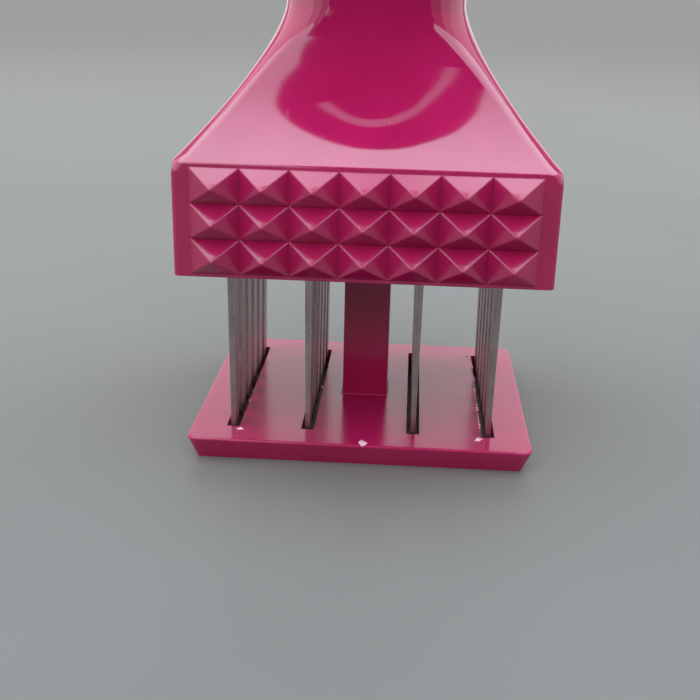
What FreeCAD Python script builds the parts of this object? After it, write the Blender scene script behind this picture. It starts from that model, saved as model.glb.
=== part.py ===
import FreeCAD, Part
import math
import os
import Sketcher

# Blade meat tenderizer with a pyramid mallet head.
#
# It stands on its guard plate. The square post of the guard slides up through the
# head into the handle against a coil spring, and lets twenty-four fixed steel
# blades out through four slots in the plate.
#
# Millimetres. Origin: middle of the guard plate's underside. +Z runs up the handle,
# X runs across the wide pyramid faces, and -Y is the front.

V = FreeCAD.Vector

BLADES_PER_ROW = 6
BLADE_ROWS = 4
PYRAMID_COLUMNS = 7
PYRAMID_ROWS = 3

SIZES = {
    # main sizes of the tool
    "tool_height": 192.9,
    "head_width": 50.9,
    "head_depth": 45.5,
    "head_height": 15.3,
    "head_gap": 24.4,            # plate top to the rim of the head
    # guard: plate and post in one moulding
    "plate_thickness": 3.5,
    "plate_step_x": 0.45,        # the plate's edge inside the head's outline, each side
    "plate_step_y": 0.95,
    "plate_inset": 1.4,          # how far the underside stands in from the top edge
    "plate_corner": 1.6,
    "plate_edge_round": 0.3,
    "post_width": 7.0,
    "post_depth": 6.4,
    "post_root_fillet": 0.35,
    "slide_clearance": 0.1,      # post to the holes it slides in, each side
    "stop_clearance": 0.1,       # washer above the clamp plate when the guard is down
    # blades
    "blade_thickness": 1.15,
    "blade_width": 3.0,
    "blade_neck_thickness": 0.65,
    "blade_edge_thickness": 0.16,
    "blade_tip_width": 1.2,
    "blade_edge_height": 2.0,    # length of the sharpened tip
    "blade_tip_height": 1.2,     # tips above the underside of the plate at rest
    "blade_pitch_share": 0.1319,  # blade to blade along a row, as a share of the head's depth
    "blade_lug": 0.8,            # each side of the anchoring lug at the top of a blade
    "blade_lug_height": 1.5,
    "blade_fit": 0.04,           # blade to its hole in the carrier, each side
    "row_inner_share": 0.1523,   # rows to the middle, as shares of the head's width
    "row_outer_share": 0.3684,
    "slot_side_gap": 0.375,      # blade to guard slot, each side
    "slot_end_gap": 0.5,
    # head
    "head_corner": 2.0,          # where the flare starts
    "block_corner": 0.7,         # below that, on the block's four upright edges
    "corner_blend": 1.5,         # height in which the one turns into the other
    "head_wall": 2.8,
    "rim_recess": 0.8,           # underside of the blade carrier above the rim
    "field_side_border": 2.45,
    "field_bottom_border": 0.5,
    "field_top_border": 0.5,
    "pyramid_height": 2.9,
    "pyramid_tip": 0.3,
    # blade cassette in the head
    "carrier_thickness": 7.0,
    "clamp_thickness": 2.5,
    "cassette_clearance": 0.15,
    "screw_margin": 8.25,        # cassette screws in from the front and back of the head
    "screw_shank": 3.0,
    "screw_head": 5.6,
    "screw_head_height": 2.2,
    "screw_grip": 6.0,           # thread length in the head
    "screw_hole_gap": 0.2,       # screw to a plain hole, each side
    "thread_gap": 0.05,          # screw to the hole that it is threaded into, each side
    # flare, neck and grip
    "flare_height": 19.5,
    "neck_width": 24.9,
    "neck_depth": 19.2,
    "neck_corner": 6.5,
    "belly_share": 0.59,         # widest part of the grip, on the way from neck to seam
    "belly_width": 29.0,
    "belly_depth": 23.6,
    "belly_corner": 10.6,
    "seam_width": 26.0,          # joint with the end cap
    "seam_depth": 20.4,
    "seam_corner": 9.7,
    "seam_chamfer": 0.35,
    # end cap
    "cap_height": 22.2,
    "cap_draft": 1.9,            # degrees
    "cap_round": 8.0,
    "spigot_length": 8.0,
    "spigot_gap": 0.05,
    "hang_hole": 7.0,
    "hang_hole_lip": 0.8,
    "hang_hole_drop": 13.5,      # centre of the hanging hole below the top of the cap
    # post retainer and spring
    "washer_outer": 12.4,
    "washer_thickness": 1.2,
    "bore_clearance": 0.5,       # washer to the handle bore, each side
    "retainer_shank": 3.0,
    "retainer_head": 5.6,
    "retainer_head_height": 2.2,
    "retainer_grip": 9.0,
    "pilot_spare": 0.5,          # pilot holes run on past the ends of their screws
    "spring_outer": 10.2,
    "spring_wire": 0.8,
    "spring_turns": 8.0,
    "spring_length": 40.0,
    # hollow of the grip
    "web_thickness": 5.0,        # between the spring bore and the hollow of the grip
    "access_gap": 0.5,           # driver hole in the web, round the post screw's head
    "core_diameter": 12.0,
}

# Flare sections: how far up the flare each one is, as a share of its height, and the
# powers that make its outline hollow. The corners stay tight low down and open at the neck.
FLARE_SHARES = (0.0, 0.15, 0.35, 0.55, 0.75, 1.0)
FLARE_CURVE_X = 1.45
FLARE_CURVE_Y = 2.0
FLARE_CURVE_CORNER = 2.0
# Grip sections: shares of the way from the neck to the belly, and from there to the seam.
SWELL_SHARES = (0.0, 0.33, 0.67, 1.0)
TAPER_SHARES = (0.5, 1.0)
# Pan head of a screw: height of its edge and width of its flat top, as shares of the head.
PAN_EDGE = 0.55
PAN_TOP = 0.64
WIRE_FLAT_COUNT = 8
LEVEL = 0.01                     # edges within this height of each other lie level

doc = FreeCAD.newDocument("tenderizer")
sheet = doc.addObject("Spreadsheet::Sheet", "sizes")
for row, (alias, value) in enumerate(SIZES.items(), start=1):
    sheet.set("A%d" % row, alias)
    sheet.set("B%d" % row, str(value))
    sheet.setAlias("B%d" % row, alias)
doc.recompute()

# Heights and distances worked out from the sheet, as expressions.
S = "sizes."
PLATE_TOP = S + "plate_thickness"
RIM = "(%s + sizes.head_gap)" % PLATE_TOP
HEAD_TOP = "(%s + sizes.head_height)" % RIM
CARRIER_BOTTOM = "(%s + sizes.rim_recess)" % RIM
CARRIER_TOP = "(%s + sizes.carrier_thickness)" % CARRIER_BOTTOM
CLAMP_TOP = "(%s + sizes.clamp_thickness)" % CARRIER_TOP
POST_TOP = "(%s + sizes.stop_clearance)" % CLAMP_TOP
WASHER_TOP = "(%s + sizes.washer_thickness)" % POST_TOP
SPRING_SEAT = "(%s + sizes.spring_length)" % WASHER_TOP
NECK = "(%s + sizes.flare_height)" % HEAD_TOP
SEAM = "(sizes.tool_height - sizes.cap_height)"
BELLY_RISE = "((%s - %s) * sizes.belly_share)" % (SEAM, NECK)
BELLY = "(%s + %s)" % (NECK, BELLY_RISE)
HANG_HOLE = "(sizes.tool_height - sizes.hang_hole_drop)"
PLATE_WIDTH = "(sizes.head_width - 2 * sizes.plate_step_x)"
PLATE_DEPTH = "(sizes.head_depth - 2 * sizes.plate_step_y)"
SLOT_WIDTH = "(sizes.blade_thickness + 2 * sizes.slot_side_gap)"
BLADE_PITCH = "(sizes.head_depth * sizes.blade_pitch_share)"
SLOT_LENGTH = "(%d * %s + sizes.blade_width + 2 * sizes.slot_end_gap)" % (BLADES_PER_ROW - 1, BLADE_PITCH)
CAVITY_WIDTH = "(sizes.head_width - 2 * sizes.head_wall)"
CAVITY_DEPTH = "(sizes.head_depth - 2 * sizes.head_wall)"
CASSETTE_WIDTH = "(%s - 2 * sizes.cassette_clearance)" % CAVITY_WIDTH
CASSETTE_DEPTH = "(%s - 2 * sizes.cassette_clearance)" % CAVITY_DEPTH
CASSETTE_CORNER = "(sizes.head_corner / 2)"
BORE = "(sizes.washer_outer + 2 * sizes.bore_clearance)"
FIRST_BLADE = "(-%g * %s)" % ((BLADES_PER_ROW - 1) / 2, BLADE_PITCH)
ROW_OUTER = "(sizes.head_width * sizes.row_outer_share)"
ROW_INNER = "(sizes.head_width * sizes.row_inner_share)"
ROWS = ("-" + ROW_OUTER, "-" + ROW_INNER, ROW_INNER, ROW_OUTER)
SCREW_X = "(%s + %s) / 2" % (ROW_INNER, ROW_OUTER)
SCREW_Y = "(sizes.head_depth / 2 - sizes.screw_margin)"


def value(expression):
    """The number that an expression on the sheet has now."""
    result = sheet.evalExpression(expression)
    return float(getattr(result, "Value", result))


def new_body(label):
    body = doc.addObject("PartDesign::Body", label)
    body.Label = label
    return body


def new_sketch(body, name, role="XY_Plane", offset=None):
    """A sketch on one of the body's own origin planes, moved along the plane's normal."""
    sketch = body.newObject("Sketcher::SketchObject", name)
    plane = next(item for item in body.Origin.OriginFeatures if item.Role == role)
    sketch.AttachmentSupport = [(plane, "")]
    sketch.MapMode = "FlatFace"
    if offset:
        sketch.setExpression("AttachmentOffset.Base.z", offset)
    return sketch


def bind(sketch, kind, elements, expression):
    """A dimension of the sketch, held by an expression."""
    number = sketch.addConstraint(Sketcher.Constraint(kind, *elements, value(expression)))
    sketch.setExpression("Constraints[%d]" % number, expression)


def rectangle(sketch, width, depth, x="0", y="0"):
    """A rectangle centred at x, y. The four expressions drive it."""
    half_w, half_d = value(width) / 2, value(depth) / 2
    cx, cy = value(x), value(y)
    corners = [V(cx - half_w, cy - half_d), V(cx + half_w, cy - half_d),
               V(cx + half_w, cy + half_d), V(cx - half_w, cy + half_d)]
    sides = [sketch.addGeometry(Part.LineSegment(corners[i], corners[(i + 1) % 4])) for i in range(4)]
    for i in range(4):
        sketch.addConstraint(Sketcher.Constraint("Coincident", sides[i], 2, sides[(i + 1) % 4], 1))
    sketch.addConstraint(Sketcher.Constraint("Horizontal", sides[0]))
    sketch.addConstraint(Sketcher.Constraint("Horizontal", sides[2]))
    sketch.addConstraint(Sketcher.Constraint("Vertical", sides[1]))
    sketch.addConstraint(Sketcher.Constraint("Vertical", sides[3]))
    bind(sketch, "DistanceX", (sides[0], 1, sides[0], 2), width)
    bind(sketch, "DistanceY", (sides[1], 1, sides[1], 2), depth)
    place(sketch, sides[0], 1, "%s - %s / 2" % (x, width), "%s - %s / 2" % (y, depth))
    return sides


def place(sketch, element, point, x, y):
    """Fix a point of the sketch at x, y from the sketch's origin."""
    bind(sketch, "DistanceX", (-1, 1, element, point), x)
    bind(sketch, "DistanceY", (-1, 1, element, point), y)


def circle(sketch, diameter, x="0", y="0"):
    ring = sketch.addGeometry(Part.Circle(V(value(x), value(y)), V(0, 0, 1), value(diameter) / 2))
    bind(sketch, "Diameter", (ring,), diameter)
    place(sketch, ring, 3, x, y)


def rounded_rectangle(sketch, width, depth, corner):
    """A rectangle with round corners, centred on the sketch's origin."""
    half_w, half_d, r = value(width) / 2, value(depth) / 2, value(corner)
    flats = [(V(r - half_w, -half_d), V(half_w - r, -half_d)),
             (V(half_w, r - half_d), V(half_w, half_d - r)),
             (V(half_w - r, half_d), V(r - half_w, half_d)),
             (V(-half_w, half_d - r), V(-half_w, r - half_d))]
    centres = [V(half_w - r, r - half_d), V(half_w - r, half_d - r),
               V(r - half_w, half_d - r), V(r - half_w, r - half_d)]
    quarter = math.pi / 2
    lines = []
    arcs = []
    for i in range(4):
        lines.append(sketch.addGeometry(Part.LineSegment(*flats[i])))
        bend = Part.ArcOfCircle(Part.Circle(centres[i], V(0, 0, 1), r), (i - 1) * quarter, i * quarter)
        arcs.append(sketch.addGeometry(bend))
    for i in range(4):
        sketch.addConstraint(Sketcher.Constraint("Tangent", lines[i], 2, arcs[i], 1))
        sketch.addConstraint(Sketcher.Constraint("Tangent", arcs[i], 2, lines[(i + 1) % 4], 1))
    sketch.addConstraint(Sketcher.Constraint("Horizontal", lines[0]))
    sketch.addConstraint(Sketcher.Constraint("Vertical", lines[1]))
    for i in range(1, 4):
        sketch.addConstraint(Sketcher.Constraint("Equal", arcs[0], arcs[i]))
    sketch.addConstraint(Sketcher.Constraint("Symmetric", arcs[0], 3, arcs[2], 3, -1, 1))
    bind(sketch, "Radius", (arcs[0],), corner)
    bind(sketch, "DistanceX", (arcs[3], 3, arcs[0], 3), "%s - 2 * %s" % (width, corner))
    bind(sketch, "DistanceY", (arcs[0], 3, arcs[1], 3), "%s - 2 * %s" % (depth, corner))


def polygon(sketch, points):
    """A closed outline through points given as pairs of expressions."""
    corners = [V(value(x), value(y)) for x, y in points]
    count = len(points)
    sides = [sketch.addGeometry(Part.LineSegment(corners[i], corners[(i + 1) % count])) for i in range(count)]
    for i in range(count):
        sketch.addConstraint(Sketcher.Constraint("Coincident", sides[i], 2, sides[(i + 1) % count], 1))
        place(sketch, sides[i], 1, *points[i])


def pad(body, sketch, length, midplane=False):
    feature = body.newObject("PartDesign::Pad", sketch.Name + "_pad")
    feature.Profile = sketch
    feature.Midplane = midplane
    feature.setExpression("Length", length)
    return feature


def pocket(body, sketch, length=None, upwards=True, midplane=False):
    """Cut the sketch's outline out of the body, through everything if no length is given."""
    before = body.Shape.Volume if body.Shape.Solids else 0
    feature = body.newObject("PartDesign::Pocket", sketch.Name + "_pocket")
    feature.Profile = sketch
    feature.Reversed = upwards
    feature.Midplane = midplane
    if length:
        feature.setExpression("Length", length)
    else:
        feature.Type = "ThroughAll"
    doc.recompute()
    if before and body.Shape.Volume >= before:
        raise RuntimeError(sketch.Name + " cuts nothing")
    return feature


def pattern(body, feature, axis, length, count):
    """Repeat a feature along one of the body's own axes."""
    row = body.newObject("PartDesign::LinearPattern", feature.Name + "_row")
    row.Originals = [feature]
    line = next(item for item in body.Origin.OriginFeatures if item.Role == axis)
    row.Direction = (line, [""])
    row.setExpression("Length", length)
    row.Occurrences = count
    body.Tip = row
    doc.recompute()
    return row


def add_guard():
    """Guard plate with drafted sides, its square post and four blade slots."""
    body = new_body("guard_plate")
    under = new_sketch(body, "guard_under")
    rounded_rectangle(under, "(%s - 2 * sizes.plate_inset)" % PLATE_WIDTH,
                      "(%s - 2 * sizes.plate_inset)" % PLATE_DEPTH, "(sizes.plate_corner / 2)")
    top = new_sketch(body, "guard_top", offset=PLATE_TOP)
    rounded_rectangle(top, PLATE_WIDTH, PLATE_DEPTH, "sizes.plate_corner")
    plate = body.newObject("PartDesign::AdditiveLoft", "guard_plate_loft")
    plate.Profile = under
    plate.Sections = [top]
    plate.Ruled = True
    foot = new_sketch(body, "guard_post", offset=PLATE_TOP)
    rectangle(foot, "sizes.post_width", "sizes.post_depth")
    pad(body, foot, "%s - %s" % (POST_TOP, PLATE_TOP))
    doc.recompute()
    at_top = level_edge(value(PLATE_TOP))
    reach = value("sizes.post_width")
    round_edges(body, "guard_post_root", "sizes.post_root_fillet",
                lambda edge: at_top(edge) and abs(edge.CenterOfMass.x) + abs(edge.CenterOfMass.y) < reach)
    round_edges(body, "guard_plate_edge", "sizes.plate_edge_round",
                lambda edge: at_top(edge) and abs(edge.CenterOfMass.x) + abs(edge.CenterOfMass.y) > 2 * reach)
    slots = new_sketch(body, "guard_slots")
    for x in ROWS:
        rectangle(slots, SLOT_WIDTH, SLOT_LENGTH, x)
    pocket(body, slots)
    pilot = new_sketch(body, "guard_pilot", offset=POST_TOP)
    circle(pilot, "(sizes.retainer_shank + 2 * sizes.thread_gap)")
    pocket(body, pilot, "sizes.retainer_grip + sizes.pilot_spare", upwards=False)
    return body


def add_blade(row, number):
    """One blade: stamped side outline with an anchoring lug, ground on both flat faces."""
    body = new_body("blade_%d_%d" % (row + 1, number + 1))
    name = body.Name
    half = "sizes.blade_width / 2"
    lug = "(sizes.blade_width / 2 + sizes.blade_lug)"
    tip = "sizes.blade_tip_height"
    shoulder = "(%s + sizes.blade_edge_height)" % tip
    lug_bottom = "(%s - sizes.blade_lug_height)" % CARRIER_TOP
    outline = new_sketch(body, name + "_outline", "YZ_Plane")
    polygon(outline, [
        ("-" + half, shoulder), ("%s - sizes.blade_tip_width" % half, tip), (half, tip),
        (half, lug_bottom), (lug, lug_bottom), (lug, CARRIER_TOP),
        ("-" + lug, CARRIER_TOP), ("-" + lug, lug_bottom), ("-" + half, lug_bottom)])
    pad(body, outline, "sizes.blade_thickness", midplane=True)
    doc.recompute()
    grind = new_sketch(body, name + "_grind", "XZ_Plane")
    for side in ("-", ""):
        polygon(grind, [
            ("%ssizes.blade_edge_thickness / 2" % side, tip),
            ("%ssizes.blade_thickness" % side, tip),
            ("%ssizes.blade_thickness" % side, CARRIER_BOTTOM),
            ("%ssizes.blade_thickness / 2" % side, CARRIER_BOTTOM),
            ("%ssizes.blade_neck_thickness / 2" % side, shoulder)])
    pocket(body, grind, midplane=True)
    body.setExpression("Placement.Base.x", ROWS[row])
    body.setExpression("Placement.Base.y", "%s + %d * %s" % (FIRST_BLADE, number, BLADE_PITCH))
    return body


def round_edges(body, name, radius, wanted):
    """Fillet the edges of the body that the test picks out."""
    doc.recompute()
    sharp = body.Tip
    edges = ["Edge%d" % number for number, edge in enumerate(sharp.Shape.Edges, start=1) if wanted(edge)]
    feature = body.newObject("PartDesign::Fillet", name)
    feature.Base = (sharp, edges)
    feature.setExpression("Radius", radius)
    body.Tip = feature
    doc.recompute()
    return feature


def level_edge(height):
    """A test for edges that lie flat at one height."""
    return lambda edge: edge.BoundBox.ZLength < LEVEL and abs(edge.BoundBox.ZMin - height) < LEVEL


def screw_places():
    """The four cassette screws, between an outer and an inner row of blades."""
    return [(side + SCREW_X, end + SCREW_Y) for side in ("-", "") for end in ("-", "")]


def post_hole(body, name, offset):
    """The guard post's guide hole through a plate of the cassette."""
    hole = new_sketch(body, name, offset=offset)
    rectangle(hole, "(sizes.post_width + 2 * sizes.slide_clearance)",
              "(sizes.post_depth + 2 * sizes.slide_clearance)")
    pocket(body, hole)


def screw_holes(body, name, offset, diameter, depth=None):
    holes = new_sketch(body, name, offset=offset)
    for x, y in screw_places():
        circle(holes, diameter, x, y)
    pocket(body, holes, depth)


def add_carrier():
    """Plastic block that holds the blades by their lugs and guides the post."""
    body = new_body("blade_carrier")
    outline = new_sketch(body, "carrier_outline", offset=CARRIER_BOTTOM)
    rounded_rectangle(outline, CASSETTE_WIDTH, CASSETTE_DEPTH, CASSETTE_CORNER)
    pad(body, outline, "sizes.carrier_thickness")
    doc.recompute()
    span = "%d * %s" % (BLADES_PER_ROW - 1, BLADE_PITCH)
    holes = new_sketch(body, "carrier_blade_holes", offset=CARRIER_BOTTOM)
    for x in ROWS:
        rectangle(holes, "(sizes.blade_thickness + 2 * sizes.blade_fit)",
                  "(sizes.blade_width + 2 * sizes.blade_fit)", x, FIRST_BLADE)
    pattern(body, pocket(body, holes), "Y_Axis", span, BLADES_PER_ROW)
    lugs = new_sketch(body, "carrier_lug_seats", offset="%s - sizes.blade_lug_height" % CARRIER_TOP)
    for x in ROWS:
        rectangle(lugs, "(sizes.blade_thickness + 2 * sizes.blade_fit)",
                  "(sizes.blade_width + 2 * sizes.blade_lug + 2 * sizes.blade_fit)", x, FIRST_BLADE)
    seats = pocket(body, lugs, "sizes.blade_lug_height")
    pattern(body, seats, "Y_Axis", span, BLADES_PER_ROW)
    post_hole(body, "carrier_post_hole", CARRIER_BOTTOM)
    screw_holes(body, "carrier_screw_holes", CARRIER_BOTTOM, "(sizes.screw_shank + 2 * sizes.screw_hole_gap)")
    screw_holes(body, "carrier_screw_seats", CARRIER_BOTTOM,
                "(sizes.screw_head + 2 * sizes.screw_hole_gap)", "sizes.screw_head_height")
    return body


def add_clamp():
    """Flat plate between the carrier and the head, which shuts in the blade lugs."""
    body = new_body("blade_clamp_plate")
    outline = new_sketch(body, "clamp_outline", offset=CARRIER_TOP)
    rounded_rectangle(outline, CASSETTE_WIDTH, CASSETTE_DEPTH, CASSETTE_CORNER)
    pad(body, outline, "sizes.clamp_thickness")
    doc.recompute()
    post_hole(body, "clamp_post_hole", CARRIER_TOP)
    screw_holes(body, "clamp_screw_holes", CARRIER_TOP, "(sizes.screw_shank + 2 * sizes.screw_hole_gap)")
    return body


def section_between(low, high, height, share, corner_share=None, depth_share=None):
    """Height, width, depth and corner of a section between two named ones, as expressions."""
    shares = {"width": share, "depth": share if depth_share is None else depth_share,
              "corner": share if corner_share is None else corner_share}
    blend = "(sizes.{0}_{2} + (sizes.{1}_{2} - sizes.{0}_{2}) * {3:.6f})"
    return [height] + [blend.format(low, high, size, part) for size, part in shares.items()]


def flare_sections():
    """From the head's block to the neck, each side a hollow curve."""
    sections = []
    for share in FLARE_SHARES:
        sections.append(section_between(
            "head", "neck", "%s + sizes.flare_height * %g" % (HEAD_TOP, share),
            1 - (1 - share) ** FLARE_CURVE_X, ((1 - math.cos(math.pi * share)) / 2) ** FLARE_CURVE_CORNER,
            1 - (1 - share) ** FLARE_CURVE_Y))
    return sections


def grip_sections():
    """From the neck over the belly to the seam with the end cap."""
    sections = []
    for share in SWELL_SHARES:
        sections.append(section_between(
            "neck", "belly", "%s + %s * %g" % (NECK, BELLY_RISE, share), (1 - math.cos(math.pi * share)) / 2))
    for share in TAPER_SHARES:
        sections.append(section_between(
            "belly", "seam", "%s + (%s - %s) * %g" % (BELLY, SEAM, BELLY, share),
            1 - math.cos(math.pi * share / 2)))
    return sections


def add_loft(body, name, sections):
    """A solid through rounded rectangles, added to the body."""
    sketches = []
    for number, (height, width, depth, corner) in enumerate(sections):
        section = new_sketch(body, "%s_section_%d" % (name, number), offset=height)
        rounded_rectangle(section, width, depth, corner)
        sketches.append(section)
    loft = body.newObject("PartDesign::AdditiveLoft", name + "_loft")
    loft.Profile = sketches[0]
    loft.Sections = sketches[1:]
    doc.recompute()


def add_pyramids(body):
    """The mallet faces: a grid of square-based pyramids on the front, mirrored to the back."""
    step_x = "((sizes.head_width - 2 * sizes.field_side_border) / %d)" % PYRAMID_COLUMNS
    step_z = "((sizes.head_height - sizes.field_bottom_border - sizes.field_top_border) / %d)" % PYRAMID_ROWS
    one = body.newObject("PartDesign::AdditiveWedge", "pyramid")
    plane = next(item for item in body.Origin.OriginFeatures if item.Role == "XY_Plane")
    one.AttachmentSupport = [(plane, "")]
    one.MapMode = "FlatFace"
    one.AttachmentOffset.Rotation = FreeCAD.Rotation(V(0, 0, 1), 180)
    one.setExpression("AttachmentOffset.Base.x", "-sizes.head_width / 2 + sizes.field_side_border + %s" % step_x)
    one.setExpression("AttachmentOffset.Base.y", "-sizes.head_depth / 2")
    one.setExpression("AttachmentOffset.Base.z", "%s + sizes.field_bottom_border" % RIM)
    tip_x = "(%s - sizes.pyramid_tip) / 2" % step_x
    tip_z = "(%s - sizes.pyramid_tip) / 2" % step_z
    sides = {"Xmin": "0", "Xmax": step_x, "Ymin": "0", "Ymax": "sizes.pyramid_height",
             "Zmin": "0", "Zmax": step_z,
             "X2min": tip_x, "X2max": "%s - %s" % (step_x, tip_x),
             "Z2min": tip_z, "Z2max": "%s - %s" % (step_z, tip_z)}
    for side, expression in sides.items():
        one.setExpression(side, expression)
    doc.recompute()
    grid = body.newObject("PartDesign::MultiTransform", "pyramid_grid")
    along = body.newObject("PartDesign::LinearPattern", "pyramid_columns")
    line_x = next(item for item in body.Origin.OriginFeatures if item.Role == "X_Axis")
    along.Direction = (line_x, [""])
    along.setExpression("Length", "%s * %d" % (step_x, PYRAMID_COLUMNS - 1))
    along.Occurrences = PYRAMID_COLUMNS
    up = body.newObject("PartDesign::LinearPattern", "pyramid_rows")
    line_z = next(item for item in body.Origin.OriginFeatures if item.Role == "Z_Axis")
    up.Direction = (line_z, [""])
    up.setExpression("Length", "%s * %d" % (step_z, PYRAMID_ROWS - 1))
    up.Occurrences = PYRAMID_ROWS
    back = body.newObject("PartDesign::Mirrored", "pyramid_back")
    back.MirrorPlane = (next(item for item in body.Origin.OriginFeatures if item.Role == "XZ_Plane"), [""])
    grid.Originals = [one]
    grid.Transformations = [along, up, back]
    body.Tip = grid
    doc.recompute()


def chamfer_seam(body, name):
    """Break the outer edges at the seam between the grip and the end cap."""
    doc.recompute()
    at_seam = level_edge(value(SEAM))
    sharp = body.Tip
    outside = value("sizes.core_diameter") / 2 + 1
    edges = [
        "Edge%d" % number for number, edge in enumerate(sharp.Shape.Edges, start=1)
        if at_seam(edge) and V(edge.CenterOfMass.x, edge.CenterOfMass.y, 0).Length > outside]
    feature = body.newObject("PartDesign::Chamfer", name)
    feature.Base = (sharp, edges)
    feature.setExpression("Size", "sizes.seam_chamfer")
    body.Tip = feature
    doc.recompute()


def add_handle():
    """Head, flare and grip in one moulding, with the cassette cavity and the spring bore."""
    body = new_body("handle_body")
    head = new_sketch(body, "head_outline", offset=RIM)
    rounded_rectangle(head, "sizes.head_width", "sizes.head_depth", "sizes.block_corner")
    pad(body, head, "sizes.head_height - sizes.corner_blend")
    add_loft(body, "shoulder", [
        ["%s - sizes.corner_blend" % HEAD_TOP, "sizes.head_width", "sizes.head_depth", "sizes.block_corner"],
        [HEAD_TOP, "sizes.head_width", "sizes.head_depth", "sizes.head_corner"]])
    add_loft(body, "flare", flare_sections())
    add_loft(body, "grip", grip_sections())
    add_pyramids(body)
    cavity = new_sketch(body, "head_cavity", offset=RIM)
    rounded_rectangle(cavity, CAVITY_WIDTH, CAVITY_DEPTH, "(sizes.head_corner / 2)")
    pocket(body, cavity, "%s - %s" % (CLAMP_TOP, RIM))
    bore = new_sketch(body, "spring_bore", offset=RIM)
    circle(bore, BORE)
    pocket(body, bore, "%s - %s" % (SPRING_SEAT, RIM))
    access = new_sketch(body, "driver_hole", offset=RIM)
    circle(access, "(sizes.retainer_head + 2 * sizes.access_gap)")
    pocket(body, access)
    hollow = new_sketch(body, "grip_hollow", offset=SEAM)
    circle(hollow, "sizes.core_diameter")
    pocket(body, hollow, "%s - %s - sizes.web_thickness" % (SEAM, SPRING_SEAT), upwards=False)
    screw_holes(body, "head_screw_holes", RIM, "(sizes.screw_shank + 2 * sizes.thread_gap)",
                "%s - %s + sizes.screw_grip + sizes.pilot_spare" % (CLAMP_TOP, RIM))
    chamfer_seam(body, "grip_seam_edge")
    return body


def add_end_cap():
    """Rounded end of the grip, plugged into its hollow, with the hanging hole."""
    body = new_body("end_cap")
    outline = new_sketch(body, "cap_outline", offset=SEAM)
    rounded_rectangle(outline, "sizes.seam_width", "sizes.seam_depth", "sizes.seam_corner")
    block = pad(body, outline, "sizes.cap_height")
    block.setExpression("TaperAngle", "-sizes.cap_draft")
    round_edges(body, "cap_end_round", "sizes.cap_round", level_edge(value("sizes.tool_height")))
    hang = new_sketch(body, "hanging_hole", "XZ_Plane")
    circle(hang, "sizes.hang_hole", "0", HANG_HOLE)
    pocket(body, hang, midplane=True)
    centre = V(0, 0, value(HANG_HOLE))
    reach = value("sizes.hang_hole")
    round_edges(body, "hanging_hole_lips", "sizes.hang_hole_lip",
                lambda edge: edge.BoundBox.YLength < reach / 2
                and V(edge.CenterOfMass.x, 0, edge.CenterOfMass.z).distanceToPoint(centre) < reach * 0.55)
    chamfer_seam(body, "cap_seam_edge")
    spigot = new_sketch(body, "cap_spigot", offset="%s - sizes.spigot_length" % SEAM)
    circle(spigot, "(sizes.core_diameter - 2 * sizes.spigot_gap)")
    pad(body, spigot, "sizes.spigot_length")
    return body


def add_screw(name, shank, head, head_height, length, x="0", y="0", seat="0", head_up=True):
    """A pan-head screw as a turned profile. The seat is the height of the face under its head."""
    body = new_body(name)
    sign = "" if head_up else "-"
    other = "-" if head_up else ""
    profile = new_sketch(body, name + "_profile", "XZ_Plane")
    polygon(profile, [
        ("0", "%s%s" % (other, length)), ("%s / 2" % shank, "%s%s" % (other, length)),
        ("%s / 2" % shank, "0"), ("%s / 2" % head, "0"),
        ("%s / 2" % head, "%s%s * %g" % (sign, head_height, PAN_EDGE)),
        ("%s / 2 * %g" % (head, PAN_TOP), "%s%s" % (sign, head_height)), ("0", "%s%s" % (sign, head_height))])
    turned = body.newObject("PartDesign::Revolution", name + "_turned")
    turned.Profile = profile
    turned.ReferenceAxis = (profile, ["V_Axis"])
    turned.Angle = 360
    doc.recompute()
    body.setExpression("Placement.Base.x", x)
    body.setExpression("Placement.Base.y", y)
    body.setExpression("Placement.Base.z", seat)
    return body


def add_carrier_screws():
    """Four screws that hold the cassette in the head, as one group of separate solids."""
    length = "(sizes.carrier_thickness - sizes.screw_head_height + sizes.clamp_thickness + sizes.screw_grip)"
    group = doc.addObject("Part::Compound", "carrier_screws")
    group.Label = "carrier_screws"
    screws = []
    for number, (x, y) in enumerate(screw_places(), start=1):
        screws.append(add_screw("carrier_screw_%d" % number, "sizes.screw_shank", "sizes.screw_head",
                                "sizes.screw_head_height", length, x, y,
                                "%s + sizes.screw_head_height" % CARRIER_BOTTOM, head_up=False))
    group.Links = screws
    return group


def add_washer():
    """Steel washer that stops the post at the clamp plate and carries the spring."""
    body = new_body("post_washer")
    outline = new_sketch(body, "washer_outline", offset=POST_TOP)
    circle(outline, "sizes.washer_outer")
    circle(outline, "(sizes.retainer_shank + 2 * sizes.screw_hole_gap)")
    pad(body, outline, "sizes.washer_thickness")
    return body


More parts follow.
